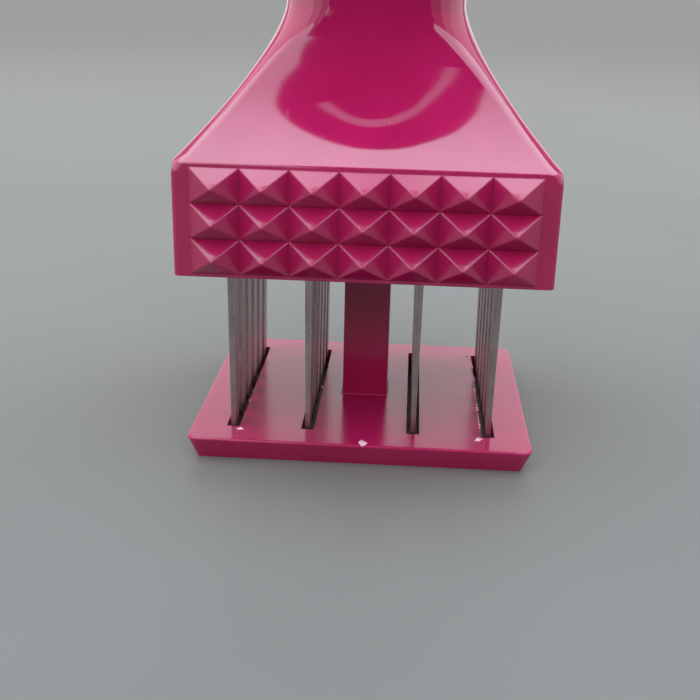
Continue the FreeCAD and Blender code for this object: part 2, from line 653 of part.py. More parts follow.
def add_spring():
    """Compression spring between the washer and the end of the bore, its wire drawn with eight flats."""
    path = doc.addObject("Part::Helix", "spring_path")
    path.setExpression("Pitch", "sizes.spring_length / sizes.spring_turns")
    path.setExpression("Height", "sizes.spring_length")
    path.setExpression("Radius", "(sizes.spring_outer - sizes.spring_wire) / 2")
    wire = doc.addObject("Part::RegularPolygon", "spring_wire_section")
    wire.Polygon = WIRE_FLAT_COUNT
    wire.setExpression("Circumradius", "sizes.spring_wire / 2")
    wire.Placement.Rotation = FreeCAD.Rotation(V(1, 0, 0), 90)
    wire.setExpression("Placement.Base.x", "(sizes.spring_outer - sizes.spring_wire) / 2")
    doc.recompute()
    coil = doc.addObject("Part::Sweep", "spring_coil")
    coil.Sections = [wire]
    coil.Spine = (path, ["Edge%d" % (i + 1) for i in range(len(path.Shape.Edges))])
    coil.Solid = True
    coil.Frenet = True
    ground = doc.addObject("Part::Cylinder", "spring_ground_ends")
    ground.setExpression("Radius", "sizes.spring_outer")
    ground.setExpression("Height", "sizes.spring_length")
    spring = doc.addObject("Part::Common", "return_spring")
    spring.Base = coil
    spring.Tool = ground
    spring.Label = "return_spring"
    spring.setExpression("Placement.Base.z", WASHER_TOP)
    return spring


nodes = [add_guard()]
for blade_row in range(BLADE_ROWS):
    for blade_number in range(BLADES_PER_ROW):
        nodes.append(add_blade(blade_row, blade_number))
nodes.append(add_carrier())
nodes.append(add_clamp())
nodes.append(add_handle())
nodes.append(add_end_cap())
nodes.append(add_carrier_screws())
nodes.append(add_washer())
nodes.append(add_screw("post_screw", "sizes.retainer_shank", "sizes.retainer_head", "sizes.retainer_head_height",
                       "(sizes.washer_thickness + sizes.retainer_grip)", seat=WASHER_TOP))
nodes.append(add_spring())
doc.recompute()

for item in doc.Objects:
    if "Invalid" in item.State or "Error" in item.State:
        raise RuntimeError("%s failed: %s" % (item.Label, item.State))
os.makedirs("parts", exist_ok=True)
for node in nodes:
    if node.Shape.isNull() or not node.Shape.isValid() or not node.Shape.Solids:
        raise RuntimeError(node.Label + " has no valid solid")
    node.Shape.exportStep("parts/%s.step" % node.Label)
    box = node.Shape.BoundBox
    print("%-18s %2d solid %9.1f mm3  z %6.2f..%6.2f" % (
        node.Label, len(node.Shape.Solids), node.Shape.Volume, box.ZMin, box.ZMax))
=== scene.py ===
# %% [markdown]
# # Blade meat tenderizer with a pyramid mallet head
#
# The tool is moulded in glossy magenta plastic. It stands on a guard plate, whose square
# post slides up into the head. Twenty-four flat steel blades hang from the head and end
# in the four slots of the plate. Both long faces of the head carry a grid of pyramids.
#
# The engineering model comes first. It is loaded as a fixed frame, and everything below
# only dresses it: some of its pieces keep their mesh and get a finish, and others are
# made again with softer edges and finer detail in the same place.

import math

import bmesh
import bpy
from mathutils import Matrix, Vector


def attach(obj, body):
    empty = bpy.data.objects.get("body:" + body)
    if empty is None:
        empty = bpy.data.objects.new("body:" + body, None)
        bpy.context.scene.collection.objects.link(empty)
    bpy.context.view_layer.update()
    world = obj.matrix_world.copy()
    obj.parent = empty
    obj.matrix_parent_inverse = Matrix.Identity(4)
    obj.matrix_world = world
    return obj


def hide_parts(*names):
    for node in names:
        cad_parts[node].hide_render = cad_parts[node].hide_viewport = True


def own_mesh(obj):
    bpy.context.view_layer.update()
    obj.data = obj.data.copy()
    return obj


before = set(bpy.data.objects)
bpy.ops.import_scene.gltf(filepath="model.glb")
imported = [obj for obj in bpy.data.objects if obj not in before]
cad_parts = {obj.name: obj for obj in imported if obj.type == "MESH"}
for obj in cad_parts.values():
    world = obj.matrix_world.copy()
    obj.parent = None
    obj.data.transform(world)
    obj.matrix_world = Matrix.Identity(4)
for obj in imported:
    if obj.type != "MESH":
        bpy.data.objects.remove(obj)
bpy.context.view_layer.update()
MM = 0.001
scene = bpy.context.scene

# %% [markdown]
# ## The camera
#
# A camera can be aimed by hand, or set from numbers that were solved once. This one is
# solved: it stands a hand's length in front of the tool, level with its neck, and looks
# down at the guard plate. From so near, a lens of ordinary length already draws the strong
# perspective of a close-up.

# %% Set the camera
lens = bpy.data.cameras.new("front_camera")
lens.lens = 52.909
lens.sensor_width = 36
lens.clip_start = 0.002
camera = bpy.data.objects.new("front_camera", lens)
camera.location = (0.005785, -0.154364, 0.067243)
camera.rotation_euler = [math.radians(turn) for turn in (69.6465, -1.3032, 3.6154)]
scene.collection.objects.link(camera)
scene.camera = camera
print("camera", tuple(round(part, 4) for part in camera.location))

# %% [markdown]
# ## Node trees written as text
#
# Materials and Geometry Nodes are both graphs. They can be drawn with the mouse, but a
# script can be read from top to bottom. Two small classes make that short. `Wire` is the
# output of a node, and Python's own operators put Math nodes behind it, so `1 - mask` is
# a working expression. `Tree` adds any other node, sets it up and plugs in its inputs.

# %% A wire that understands arithmetic
class Wire:
    """The output of a node. Arithmetic on it adds Math nodes."""

    def __init__(self, tree, socket):
        self.tree = tree
        self.socket = socket

    def math(self, operation, *others):
        """Put one Math node behind this wire."""
        return self.tree.node("ShaderNodeMath", {"operation": operation}, dict(enumerate((self, *others))))

    def __add__(self, other):
        return self.math("ADD", other)

    def __mul__(self, other):
        return self.math("MULTIPLY", other)

    __radd__ = __add__
    __rmul__ = __mul__

    def __sub__(self, other):
        return self.math("SUBTRACT", other)

    def __rsub__(self, other):
        return self * -1 + other

    def __truediv__(self, other):
        return self.math("DIVIDE", other)

    def __rtruediv__(self, other):
        return self.math("POWER", -1) * other

    def ramp(self, low, high):
        """0 below low, 1 above high, and a soft step between them."""
        return self.tree.node("ShaderNodeMapRange", {"interpolation_type": "SMOOTHSTEP"},
                              {"Value": self, "From Min": low, "From Max": high})


print("wires take + - * and /, with a wire or a number on either side")

# %% A tree that takes a node's type, settings and inputs
class Tree:
    """A node tree. node() adds one node and returns one of its outputs as a Wire."""

    def __init__(self, tree):
        self.tree = tree

    def node(self, kind, settings=None, inputs=None, output=0):
        made = self.tree.nodes.new(kind)
        for name, setting in (settings or {}).items():
            setattr(made, name, setting)
        for name, given in (inputs or {}).items():
            self.feed(made.inputs[name], given)
        return Wire(self, made.outputs[output]) if made.outputs else None

    def feed(self, socket, given):
        if isinstance(given, Wire):
            self.tree.links.new(given.socket, socket)
        else:
            socket.default_value = given


print("a tree adds any node by its type, and joins it up")

# %% [markdown]
# ## Finishes
#
# Every finish starts from a Principled shader and works in the object's own millimetres,
# so a speck of dust has the same size on a large piece as on a small one. Because all
# the pieces sit at the origin, neighbouring pieces share one continuous pattern.
#
# Only what varies over the surface is wired in: colour, roughness and the bump.
# Everything constant is typed into the shader itself.

# %% The frame of a finish
def rgb(red, green, blue):
    return (red, green, blue, 1.0)


def blank_material(name):
    """A material without a single node."""
    material = bpy.data.materials.new(name)
    material.use_nodes = True
    material.node_tree.nodes.clear()
    return material


class Finish(Tree):
    """A material with one Principled shader and the texture nodes that feed it."""

    def __init__(self, name, **constants):
        self.material = blank_material(name)
        super().__init__(self.material.node_tree)
        self.surface = self.node("ShaderNodeBsdfPrincipled", inputs={
            socket.replace("_", " "): given for socket, given in constants.items()})
        self.shader = self.surface.socket.node
        self.end = self.tree.nodes.new("ShaderNodeOutputMaterial").inputs["Surface"]
        self.feed(self.end, self.surface)
        self.place = self.node("ShaderNodeTexCoord", output="Object")

    def per_mm(self, scale, turn=(0, 0, 0)):
        """Coordinates with this many units to a millimetre along each axis."""
        return self.node("ShaderNodeMapping", {}, {
            "Vector": self.place, "Rotation": turn, "Scale": [part / MM for part in scale]})

    def noise(self, scale, detail=2.0, roughness=0.5, stretch=(1, 1, 1), turn=(0, 0, 0)):
        """Soft noise, about 0.5 in the middle, with scale cells to a millimetre."""
        return self.node("ShaderNodeTexNoise", {}, {
            "Vector": self.per_mm([scale * part for part in stretch], turn),
            "Scale": 1.0, "Detail": detail, "Roughness": roughness})

    def dots(self, scale, size):
        """Round dots, 1 in their middle, on a scatter of scale points to a millimetre."""
        reach = self.node("ShaderNodeTexVoronoi", {}, {"Vector": self.per_mm([scale] * 3), "Scale": 1.0})
        return 1 - reach.ramp(size * 0.5, size)

    def mix(self, amount, first, second):
        """Blend two colours by a value."""
        return self.node("ShaderNodeMix", {"data_type": "RGBA"}, {0: amount, 6: first, 7: second}, output=2)

    def bump(self, height, strength, depth_mm, under=None):
        """A normal that rises and falls with a value, over the relief of another bump."""
        inputs = {"Height": height, "Strength": strength, "Distance": depth_mm * MM}
        if under:
            inputs["Normal"] = under
        return self.node("ShaderNodeBump", {}, inputs)

    def finish(self, **wires):
        """Plug the varying inputs into the shader and return the material."""
        for socket, wire in wires.items():
            self.feed(self.shader.inputs[socket.replace("_", " ")], wire)
        return self.material


print("a finish can draw noise, dots, mixed colours and bumps")

# %% [markdown]
# ### Glossy magenta plastic
#
# Opaque injection-moulded plastic is a coloured body under a clear gloss. A plain
# Principled shader does that well. What sells it is the unevenness: the pigment clouds
# a little where the melt flowed, handling leaves hair-fine scuffs that dull the gloss,
# dust sits on it in pale specks, and edges that knock against things turn paler. The
# edges carry an attribute called `wear`, which each mesh below writes where it has them.
#
# The smooth outside, the pyramids, the guard and the plates inside are the same plastic
# with another gloss: the mould of the pyramids and of the guard was less polished. One
# function makes all four. Torn plastic has no gloss left and gets a finish of its own.

# %% Make the plastics
DEEP_MAGENTA = rgb(0.340, 0.0060, 0.066)
BRIGHT_MAGENTA = rgb(0.395, 0.0085, 0.084)
PALE_MAGENTA = rgb(0.700, 0.200, 0.340)
TORN_PINK = rgb(0.900, 0.560, 0.690)


def moulded_plastic(name, dullness, shine, ripple, scuffed, edge_wear):
    """Magenta plastic. dullness is its roughness, ripple the depth of its waves in mm."""
    finish = Finish(name, Specular_IOR_Level=shine)
    clouds = finish.noise(0.05, detail=3.0, roughness=0.55)
    mottle = finish.noise(1.6, detail=4.0, roughness=0.6)
    waves = finish.noise(0.11, detail=1.0)
    streaks = finish.noise(1.3, detail=3.0, stretch=(1, 0.07, 0.3), turn=(0.4, 0.3, 0.9))
    cross_streaks = finish.noise(1.1, detail=3.0, stretch=(0.06, 1, 0.4), turn=(0.2, 0.7, 0.3))
    scuffs = streaks.ramp(0.64, 0.72) + cross_streaks.ramp(0.66, 0.74)
    dust = finish.dots(0.42, 0.055) * finish.noise(0.2, detail=0.0).ramp(0.52, 0.6)
    wear = finish.node("ShaderNodeAttribute", {"attribute_name": "wear"}, output="Fac")
    worn = wear * mottle.ramp(0.3, 0.6)

    colour = finish.mix(clouds.ramp(0.3, 0.7), DEEP_MAGENTA, BRIGHT_MAGENTA)
    colour = finish.mix(worn * edge_wear + scuffs * 0.05 * scuffed + dust * 0.3, colour, PALE_MAGENTA)
    # mottle averages 0.5, so the last term keeps the mean roughness at dullness
    roughness = mottle * 0.03 + scuffs * 0.10 * scuffed + dust * 0.3 + worn * edge_wear + (dullness - 0.015)
    swell = finish.bump(waves, 1.0, ripple)
    relief = finish.bump(mottle * 0.4 - scuffs * scuffed, 0.1, 0.01, under=swell)
    return finish.finish(Base_Color=colour, Roughness=roughness, Normal=relief)


handle_plastic = moulded_plastic("glossy_magenta_plastic", 0.045, shine=0.77, ripple=0.02,
                                 scuffed=0.2, edge_wear=0.08)
pyramid_plastic = moulded_plastic("pyramid_magenta_plastic", 0.22, shine=0.77, ripple=0.01,
                                  scuffed=0.2, edge_wear=0.08)
guard_plastic = moulded_plastic("guard_magenta_plastic", 0.20, shine=0.55, ripple=0.02,
                                scuffed=0.3, edge_wear=0.2)
inner_plastic = moulded_plastic("satin_magenta_plastic", 0.38, shine=0.5, ripple=0.01,
                                scuffed=0.4, edge_wear=0.2)


def whitened_plastic():
    """Torn plastic: it turns pale and dull where it was stretched."""
    finish = Finish("torn_magenta_plastic", Specular_IOR_Level=0.5)
    stretched = finish.noise(2.2, detail=3.0)
    colour = finish.mix(stretched.ramp(0.3, 0.55), PALE_MAGENTA, TORN_PINK)
    return finish.finish(Base_Color=colour, Roughness=stretched * 0.2 + 0.3,
                         Normal=finish.bump(stretched, 0.4, 0.05))


torn_plastic = whitened_plastic()
plastics = (handle_plastic, pyramid_plastic, guard_plastic, inner_plastic, torn_plastic)
print("plastics:", [plastic.name for plastic in plastics])

# %% [markdown]
# ### Blade steel
#
# The blades are punched from stainless strip and ground on their flat faces. Up close
# such steel is dull rather than shiny, with grinding lines along its length, small dark
# pits and a mottled film. Stretched noise draws the lines; a Voronoi scatter makes the
# pits, which also go into the bump so that they catch the light. The blades' colour is
# tinted warm pink: a painted reflection of the magenta faces they stand between.

# %% Make the metals
PIT_BLACK = rgb(0.03, 0.028, 0.026)


def ground_steel(name, light, dark, lines, pitted, roughness):
    """Steel with lines along Z. lines is how many fit in a millimetre across them."""
    finish = Finish(name, Metallic=1.0)
    grain = finish.noise(lines, detail=4.0, roughness=0.65, stretch=(1, 1, 0.02))
    film = finish.noise(0.35, detail=3.0, roughness=0.6)
    pits = finish.dots(1.7, 0.2) * finish.noise(0.7, detail=1.0).ramp(0.5, 0.56)
    tone = finish.mix(grain.ramp(0.3, 0.7) * 0.6 + film.ramp(0.35, 0.7) * 0.4, dark, light)
    tone = finish.mix(pits * pitted * 0.75, tone, PIT_BLACK)
    # the last term again keeps the mean roughness about where it is asked for
    dullness = grain * 0.2 + film * 0.15 + pits * pitted * 0.3 + (roughness - 0.17)
    relief = finish.bump(grain * 0.5 - pits * pitted, 0.5, 0.02)
    return finish.finish(Base_Color=tone, Roughness=dullness, Normal=relief)


# the pink tint of these two blade colours is a painted reflection of the magenta faces round the blades
blade_steel = ground_steel("ground_blade_steel", rgb(0.58, 0.465, 0.46), rgb(0.34, 0.265, 0.265),
                           lines=5.0, pitted=1.0, roughness=0.36)
screw_steel = ground_steel("zinc_plated_steel", rgb(0.68, 0.68, 0.66), rgb(0.50, 0.50, 0.49),
                           lines=2.0, pitted=0.2, roughness=0.33)
spring_steel = ground_steel("drawn_spring_wire", rgb(0.50, 0.50, 0.51), rgb(0.33, 0.33, 0.34),
                            lines=6.0, pitted=0.1, roughness=0.30)
print("metals:", blade_steel.name, screw_steel.name, spring_steel.name)

# %% [markdown]
# ## The handle: head, flare and grip
#
# Head, flare and grip are one moulding. Its cross-section is a rounded rectangle all the
# way up, and only four numbers change with height: width, depth, corner radius and the
# height itself. Such a form can be lofted, sculpted, or skinned from stacked outlines.
# Stacked outlines are the most exact, and they let the mesh carry straight on inside:
# down the hollow of the grip, down the spring bore, round the cavity in the head and out
# at the rim, so the handle is one closed wall.

# %% Outlines of the handle
CORNER_STEPS = 12
BLOCK = (50.9, 45.5, 0.7)            # width, depth and corner radius, in millimetres
HEAD = (50.9, 45.5, 2.0)
NECK = (24.9, 19.2, 6.5)
BELLY = (29.0, 23.6, 10.6)
SEAM = (26.0, 20.4, 9.7)
CAVITY = (45.3, 39.9, 1.0)
RIM_Z, BLOCK_Z, HEAD_Z, NECK_Z, BELLY_Z, SEAM_Z = 27.9, 41.7, 43.2, 62.7, 126.42, 170.7


def outline(size, height, steps=CORNER_STEPS):
    """A rounded rectangle as a ring of points, anticlockwise seen from above."""
    width, depth, corner = size
    ring = []
    for quadrant, (side, end) in enumerate(((1, -1), (1, 1), (-1, 1), (-1, -1))):
        for step in range(steps + 1):
            turn = math.pi / 2 * (quadrant - 1 + step / steps)
            ring.append(Vector((side * (width / 2 - corner) + corner * math.cos(turn),
                                end * (depth / 2 - corner) + corner * math.sin(turn), height)) * MM)
    return ring


def circle(radius, height):
    """A circle with as many points as an outline, starting in the same direction."""
    count = 4 * (CORNER_STEPS + 1)
    turns = [2 * math.pi * (step + 0.5) / count - math.pi / 2 for step in range(count)]
    return [Vector((radius * math.cos(turn), radius * math.sin(turn), height)) * MM for turn in turns]


def between(low, high, shares):
    """A size on the way from one outline to another. Each of its three numbers has its own share."""
    return [a + (b - a) * part for a, b, part in zip(low, high, shares)]


print("points to a ring:", 4 * (CORNER_STEPS + 1))

# %% Stack the outlines and skin them
FLARE_RINGS, GRIP_RINGS = 22, 40
WIDTH_POWER, DEPTH_POWER = 1.45, 2   # how hollow the flare is, from the front and from the side
CORNER_POWER = 4                     # its corners stay tight low down and open at the neck
GRIP_BORE, DRIVER_HOLE, SPRING_BORE = 6.0, 3.3, 6.7      # radii of the hollows, from the top down
WEB_Z, SEAT_Z, CAVITY_Z = 84.5, 79.5, 38.2               # heights where one hollow meets the next


def handle_rings():
    """All outlines: up the outside from the rim, then down the inside and back to it."""
    rings = [outline(BLOCK, RIM_Z), outline(BLOCK, BLOCK_Z), outline(HEAD, HEAD_Z)]
    for step in range(1, FLARE_RINGS + 1):
        up = step / FLARE_RINGS
        opened = ((1 - math.cos(math.pi * up)) / 2) ** CORNER_POWER
        size = between(HEAD, NECK, (1 - (1 - up) ** WIDTH_POWER, 1 - (1 - up) ** DEPTH_POWER, opened))
        rings.append(outline(size, HEAD_Z + (NECK_Z - HEAD_Z) * up))
    for step in range(1, GRIP_RINGS + 1):
        share = (1 - math.cos(math.pi * step / GRIP_RINGS)) / 2
        size = between(NECK, BELLY, [share] * 3)
        rings.append(outline(size, NECK_Z + (BELLY_Z - NECK_Z) * step / GRIP_RINGS))
    for step in range(1, GRIP_RINGS // 2 + 1):
        up = step / (GRIP_RINGS // 2)
        share = 1 - math.cos(math.pi / 2 * up)
        rings.append(outline(between(BELLY, SEAM, [share] * 3), BELLY_Z + (SEAM_Z - BELLY_Z) * up))
    rings += [circle(GRIP_BORE, SEAM_Z), circle(GRIP_BORE, WEB_Z)]
    rings += [circle(DRIVER_HOLE, WEB_Z), circle(DRIVER_HOLE, SEAT_Z)]
    rings += [circle(SPRING_BORE, SEAT_Z), circle(SPRING_BORE, CAVITY_Z)]
    rings += [outline(CAVITY, CAVITY_Z), outline(CAVITY, RIM_Z)]
    return rings


def skin(name, rings, material, closed=True):
    """A mesh through rings of equal length. A closed skin joins its last ring to its first."""
    count = len(rings[0])
    faces = []
    for number in range(len(rings) if closed else len(rings) - 1):
        low, high = number * count, (number + 1) % len(rings) * count
        for step in range(count):
            ahead = (step + 1) % count
            faces.append((low + step, low + ahead, high + ahead, high + step))
    mesh = bpy.data.meshes.new(name)
    mesh.from_pydata([point for ring in rings for point in ring], [], faces)
    mesh.materials.append(material)
    mesh.shade_smooth()
    piece = bpy.data.objects.new(name, mesh)
    scene.collection.objects.link(piece)
    return piece


handle = skin("handle_moulding", handle_rings(), handle_plastic)
print("handle:", len(handle.data.polygons), "faces before its edges are rounded")

# %% [markdown]
# A moulding never has a knife edge. A Bevel modifier rounds every edge sharper than about
# thirty degrees: the rim, the step from the block to the flare, and the edges inside.
# Weighted normals then keep the broad faces flat up to the bevel, which is what makes
# the highlight run along an edge as a thin bright line. The bevel puts its new faces in
# a second material slot, and that is how the script finds the edges that wear.

# %% Round the edges of the handle
EDGE_ROUND = 0.2                     # millimetres


def settle(piece):
    """Turn the modified shape into the piece's own plain mesh."""
    before = piece.data
    piece.data = bpy.data.meshes.new_from_object(
        piece.evaluated_get(bpy.context.evaluated_depsgraph_get()))
    piece.modifiers.clear()
    piece.data.name = piece.name
    bpy.data.meshes.remove(before)


def mark_wear(mesh):
    """Write `wear` on the points inside rounded edges, whose faces carry the second slot."""
    worn = [1.0] * len(mesh.vertices)
    for face in mesh.polygons:
        if face.material_index != 1:
            for point in face.vertices:
                worn[point] = 0.0
        face.material_index = 0
    mesh.materials.pop()
    mesh.attributes.new("wear", "FLOAT", "POINT").data.foreach_set("value", worn)
    return sum(worn)


def flatten(piece):
    """Let the broad faces set the normals, so that they look flat up to their rounded edges."""
    flat = piece.modifiers.new("flat_faces", "WEIGHTED_NORMAL")
    flat.weight = 85
    flat.keep_sharp = True


def soften(piece, width_mm):
    """Round the sharp edges of a mesh for good, and mark where they wear."""
    piece.data.materials.append(piece.data.materials[0])
    bevel = piece.modifiers.new("edges", "BEVEL")
    bevel.width = width_mm * MM
    bevel.segments = 3
    bevel.limit_method = "ANGLE"
    bevel.angle_limit = math.radians(30)
    bevel.material = 1
    flatten(piece)
    settle(piece)
    return mark_wear(piece.data)


worn_points = soften(handle, EDGE_ROUND)
print("handle:", len(handle.data.polygons), "faces,", int(worn_points), "points that wear")

# %% [markdown]
# ## The pyramid faces
#
# Seven by three pyramids cover the front of the head, and as many the back. They could be
# modelled one by one, or with two Array modifiers. Geometry Nodes do it with fewer steps:
# a grid of points stands in the plane of the face, one pyramid is put on each point, and
# the whole field is turned half way round for the back. The single pyramid is modelled
# with its ridges rounded off, because those ridges are what glints.
#
# The nodes are built by `Maker`. Its tree takes each size as a named input, which is how a
# modifier would show it, and the finished mesh is then kept without the modifier.

# %% A maker of Geometry Nodes pieces
SOCKET_KINDS = {int: "NodeSocketInt", float: "NodeSocketFloat", bpy.types.Object: "NodeSocketObject"}


class Maker(Tree):
    """A Geometry Nodes tree with named inputs. make() runs it once into a plain mesh."""

    def __init__(self, name, **sizes):
        super().__init__(bpy.data.node_groups.new(name, "GeometryNodeTree"))
        self.tree.interface.new_socket("Geometry", in_out="OUTPUT", socket_type="NodeSocketGeometry")
        self.given = {}
        for label, size in sizes.items():
            socket = self.tree.interface.new_socket(
                label, in_out="INPUT", socket_type=SOCKET_KINDS[type(size)])
            self.given[socket.identifier] = size
        entry = self.tree.nodes.new("NodeGroupInput")
        self.size = {label: Wire(self, entry.outputs[label]) for label in sizes}

    def moved(self, geometry, place=(0, 0, 0), turn=(0, 0, 0)):
        """Geometry turned by degrees and then put in its place."""
        return self.node("GeometryNodeTransform", {}, {
            "Geometry": geometry, "Translation": place, "Rotation": [math.radians(part) for part in turn]})

    def joined(self, *geometries):
        """Geometries in one, in the order given. The socket puts the last link first."""
        made = self.tree.nodes.new("GeometryNodeJoinGeometry")
        for geometry in reversed(geometries):
            self.tree.links.new(geometry.socket, made.inputs[0])
        return Wire(self, made.outputs[0])

    def vector(self, x=0.0, y=0.0, z=0.0):
        return self.node("ShaderNodeCombineXYZ", {}, {0: x, 1: y, 2: z})

    def random(self, low, high, seed):
        """A random number for each point."""
        return self.node("FunctionNodeRandomValue", {"data_type": "FLOAT"}, {
            "Min": low, "Max": high, "Seed": seed}, output=1)

    def scattered(self, points, model, **placing):
        """A copy of an object on each of the points."""
        one = self.node("GeometryNodeObjectInfo", {}, {"Object": model}, output="Geometry")
        return self.node("GeometryNodeInstanceOnPoints", {}, {"Points": points, "Instance": one, **placing})

    def make(self, geometry, material):
        """Run the tree on an object, and keep the mesh."""
        real = self.node("GeometryNodeRealizeInstances", {}, {"Geometry": geometry})
        done = self.node("GeometryNodeSetMaterial", {}, {"Geometry": real, "Material": material})
        self.node("NodeGroupOutput", {}, {"Geometry": done})
        piece = bpy.data.objects.new(self.tree.name, bpy.data.meshes.new(self.tree.name))
        scene.collection.objects.link(piece)
        modifier = piece.modifiers.new(self.tree.name, "NODES")
        modifier.node_group = self.tree
        for identifier, size in self.given.items():
            modifier[identifier] = size
        settle(piece)
        print(piece.name, "has", len(piece.data.polygons), "faces")
        return piece


# %% One pyramid, with its ridges rounded
COLUMNS, ROWS = 7, 3
PYRAMID_WIDTH, PYRAMID_DEPTH = 46.0 / COLUMNS, 14.3 / ROWS
PYRAMID_RISE = 3.1                   # up to where its flat sides would meet
PYRAMID_FOOT = -0.4                  # its foot goes this far into the face of the head
TIP_ROUND, VALLEY_ROUND, RIDGE_ROUND = 0.067, 0.03, 0.16
RIDGE_STEPS = 4
PYRAMID_RINGS = 14
RING_POWER = 1.6                     # above 1, the rings crowd towards the tip
VALLEY_SHARES = (0.985, 0.965, 0.94)     # extra rings where a ridge starts to round off
WEAR_START, WEAR_DEPTH = 2.6, 0.3    # the tip wears from this height on


def close_holes(piece):
    """Put a face over each open end."""
    bm = bmesh.new()
    bm.from_mesh(piece.data)
    bmesh.ops.holes_fill(bm, edges=[edge for edge in bm.edges if edge.is_boundary], sides=0)
    bmesh.ops.recalc_face_normals(bm, faces=bm.faces)
    bm.to_mesh(piece.data)
    bm.free()


def pyramid_ring(share):
    """The outline of a pyramid where it has this share of its full width."""
    # sharp at the foot, then RIDGE_ROUND, and near the tip about as round as the outline is deep
    corner = min(RIDGE_ROUND, 3 * (1 - share) + 0.01, 0.49 * PYRAMID_DEPTH * share)
    # hypot with a small second number is a straight slope that ends in a round
    height = PYRAMID_RISE * (math.hypot(1, TIP_ROUND) - math.hypot(share, TIP_ROUND))
    size = (PYRAMID_WIDTH * share, PYRAMID_DEPTH * share, corner)
    return outline(size, math.hypot(height, VALLEY_ROUND), RIDGE_STEPS)


def make_pyramid():
    shares = [(1 - step / PYRAMID_RINGS) ** RING_POWER for step in range(PYRAMID_RINGS)]
    shares[1:1] = VALLEY_SHARES
    foot = outline((PYRAMID_WIDTH, PYRAMID_DEPTH, 0.01), PYRAMID_FOOT, RIDGE_STEPS)
    made = skin("pyramid", [foot] + [pyramid_ring(share) for share in shares], pyramid_plastic, closed=False)
    close_holes(made)
    worn = made.data.attributes.new("wear", "FLOAT", "POINT").data
    for point, edge in zip(made.data.vertices, worn):
        edge.value = max(0.0, point.co.z / MM - WEAR_START) / WEAR_DEPTH
    return made


pyramid = make_pyramid()
print("one pyramid:", len(pyramid.data.polygons), "faces")

# %% Cover the front and the back with them
FACE_Y = HEAD[1] / 2                 # the front and the back of the head
FIELD_Z = 35.55                      # middle of the field of pyramids


def make_pyramid_faces():
    maker = Maker("pyramid_faces", pyramid=pyramid, columns=COLUMNS, rows=ROWS,
                  step_x=PYRAMID_WIDTH * MM, step_z=PYRAMID_DEPTH * MM, face=FACE_Y * MM, middle=FIELD_Z * MM)
    size = maker.size
    grid = maker.node("GeometryNodeMeshGrid", {}, {
        "Size X": size["step_x"] * (size["columns"] - 1), "Size Y": size["step_z"] * (size["rows"] - 1),
        "Vertices X": size["columns"], "Vertices Y": size["rows"]})
    field = maker.scattered(grid, size["pyramid"])
    front = maker.moved(field, maker.vector(0.0, size["face"] * -1, size["middle"]), (90, 0, 0))
    both = maker.joined(front, maker.moved(front, turn=(0, 0, 180)))
    return maker.make(both, pyramid_plastic)


pyramid_faces = make_pyramid_faces()
flatten(pyramid_faces)
settle(pyramid_faces)
bpy.data.objects.remove(pyramid)

# %% [markdown]
# ## The screws under the head
#
# Four pan-head screws hold the blade cassette. Seen from below, the cross recess is what
# makes them screws. One screw is turned as a stack of rings and its cross cut out with a
# Boolean; Geometry Nodes then put it on the four corners of a grid.

# %% Turn one screw and cut its cross
CROSS_TIP_SHARE = 0.35               # span of the cross at its bottom, as a share of its top
# radius and height, from the tip of the shank up to the top of the head
SCREW_PROFILE = ((1.5, -13.3), (1.5, 0.0), (2.66, 0.0), (2.8, 0.14), (2.8, 1.0), (2.72, 1.25),
                 (2.5, 1.6), (2.1, 1.95), (1.6, 2.15), (0.9, 2.2))


def turned(name, profile, material, points=32):
    """A turned part: circles of each radius and height, from the bottom up, with closed ends."""
    rings = [[Vector((radius * math.cos(turn), radius * math.sin(turn), height)) * MM
              for turn in (2 * math.pi * step / points for step in range(points))]
             for radius, height in profile]
    piece = skin(name, rings, material, closed=False)
    close_holes(piece)
    return piece


def to_object(bm, name, material):
    """Finish a bmesh as an object of its own."""
    mesh = bpy.data.meshes.new(name)
    bm.to_mesh(mesh)
    bm.free()
    mesh.materials.append(material)
    made = bpy.data.objects.new(name, mesh)
    scene.collection.objects.link(made)
    return made


def make_cross(width, span, bottom, top):
    """A tapered cross, the shape of a driver's tip. Sizes in millimetres."""
    bm = bmesh.new()
    for long_x in (True, False):
        corners = []
        for height, share in ((bottom, CROSS_TIP_SHARE), (top, 1.0)):
            for x, y in ((-1, -1), (1, -1), (1, 1), (-1, 1)):
                reach = (span * share, width) if long_x else (width, span * share)
                corners.append(bm.verts.new(Vector((x * reach[0] / 2, y * reach[1] / 2, height)) * MM))
        for face in ((3, 2, 1, 0), (4, 5, 6, 7), (0, 1, 5, 4), (1, 2, 6, 5), (2, 3, 7, 6), (3, 0, 4, 7)):
            bm.faces.new([corners[corner] for corner in face])
    return to_object(bm, "cross", screw_steel)


def make_screw():
    made = turned("screw", SCREW_PROFILE, screw_steel)
    cross = make_cross(width=0.75, span=3.1, bottom=0.7, top=2.4)
    cut = made.modifiers.new("cross", "BOOLEAN")
    cut.object = cross
    cut.solver = "EXACT"
    cut.use_self = True
    settle(made)
    bpy.data.objects.remove(cross)
    return made


screw = make_screw()
print("one screw:", len(screw.data.polygons), "faces")

# %% Put a screw in each corner of the cassette
def make_carrier_screws():
    maker = Maker("cassette_screws", screw=screw, spread_x=26.5 * MM, spread_y=29.0 * MM,
                  seat=30.9 * MM, turned_by=1.5, seed=4)
    size = maker.size
    grid = maker.node("GeometryNodeMeshGrid", {}, {
        "Size X": size["spread_x"], "Size Y": size["spread_y"], "Vertices X": 2, "Vertices Y": 2})
    turns = maker.random(0.0, size["turned_by"], size["seed"])
    placed = maker.scattered(grid, size["screw"], Rotation=maker.vector(z=turns))
    return maker.make(maker.moved(placed, maker.vector(0.0, 0.0, size["seat"]), (180, 0, 0)), screw_steel)


cassette_screws = make_carrier_screws()
bpy.data.objects.remove(screw)

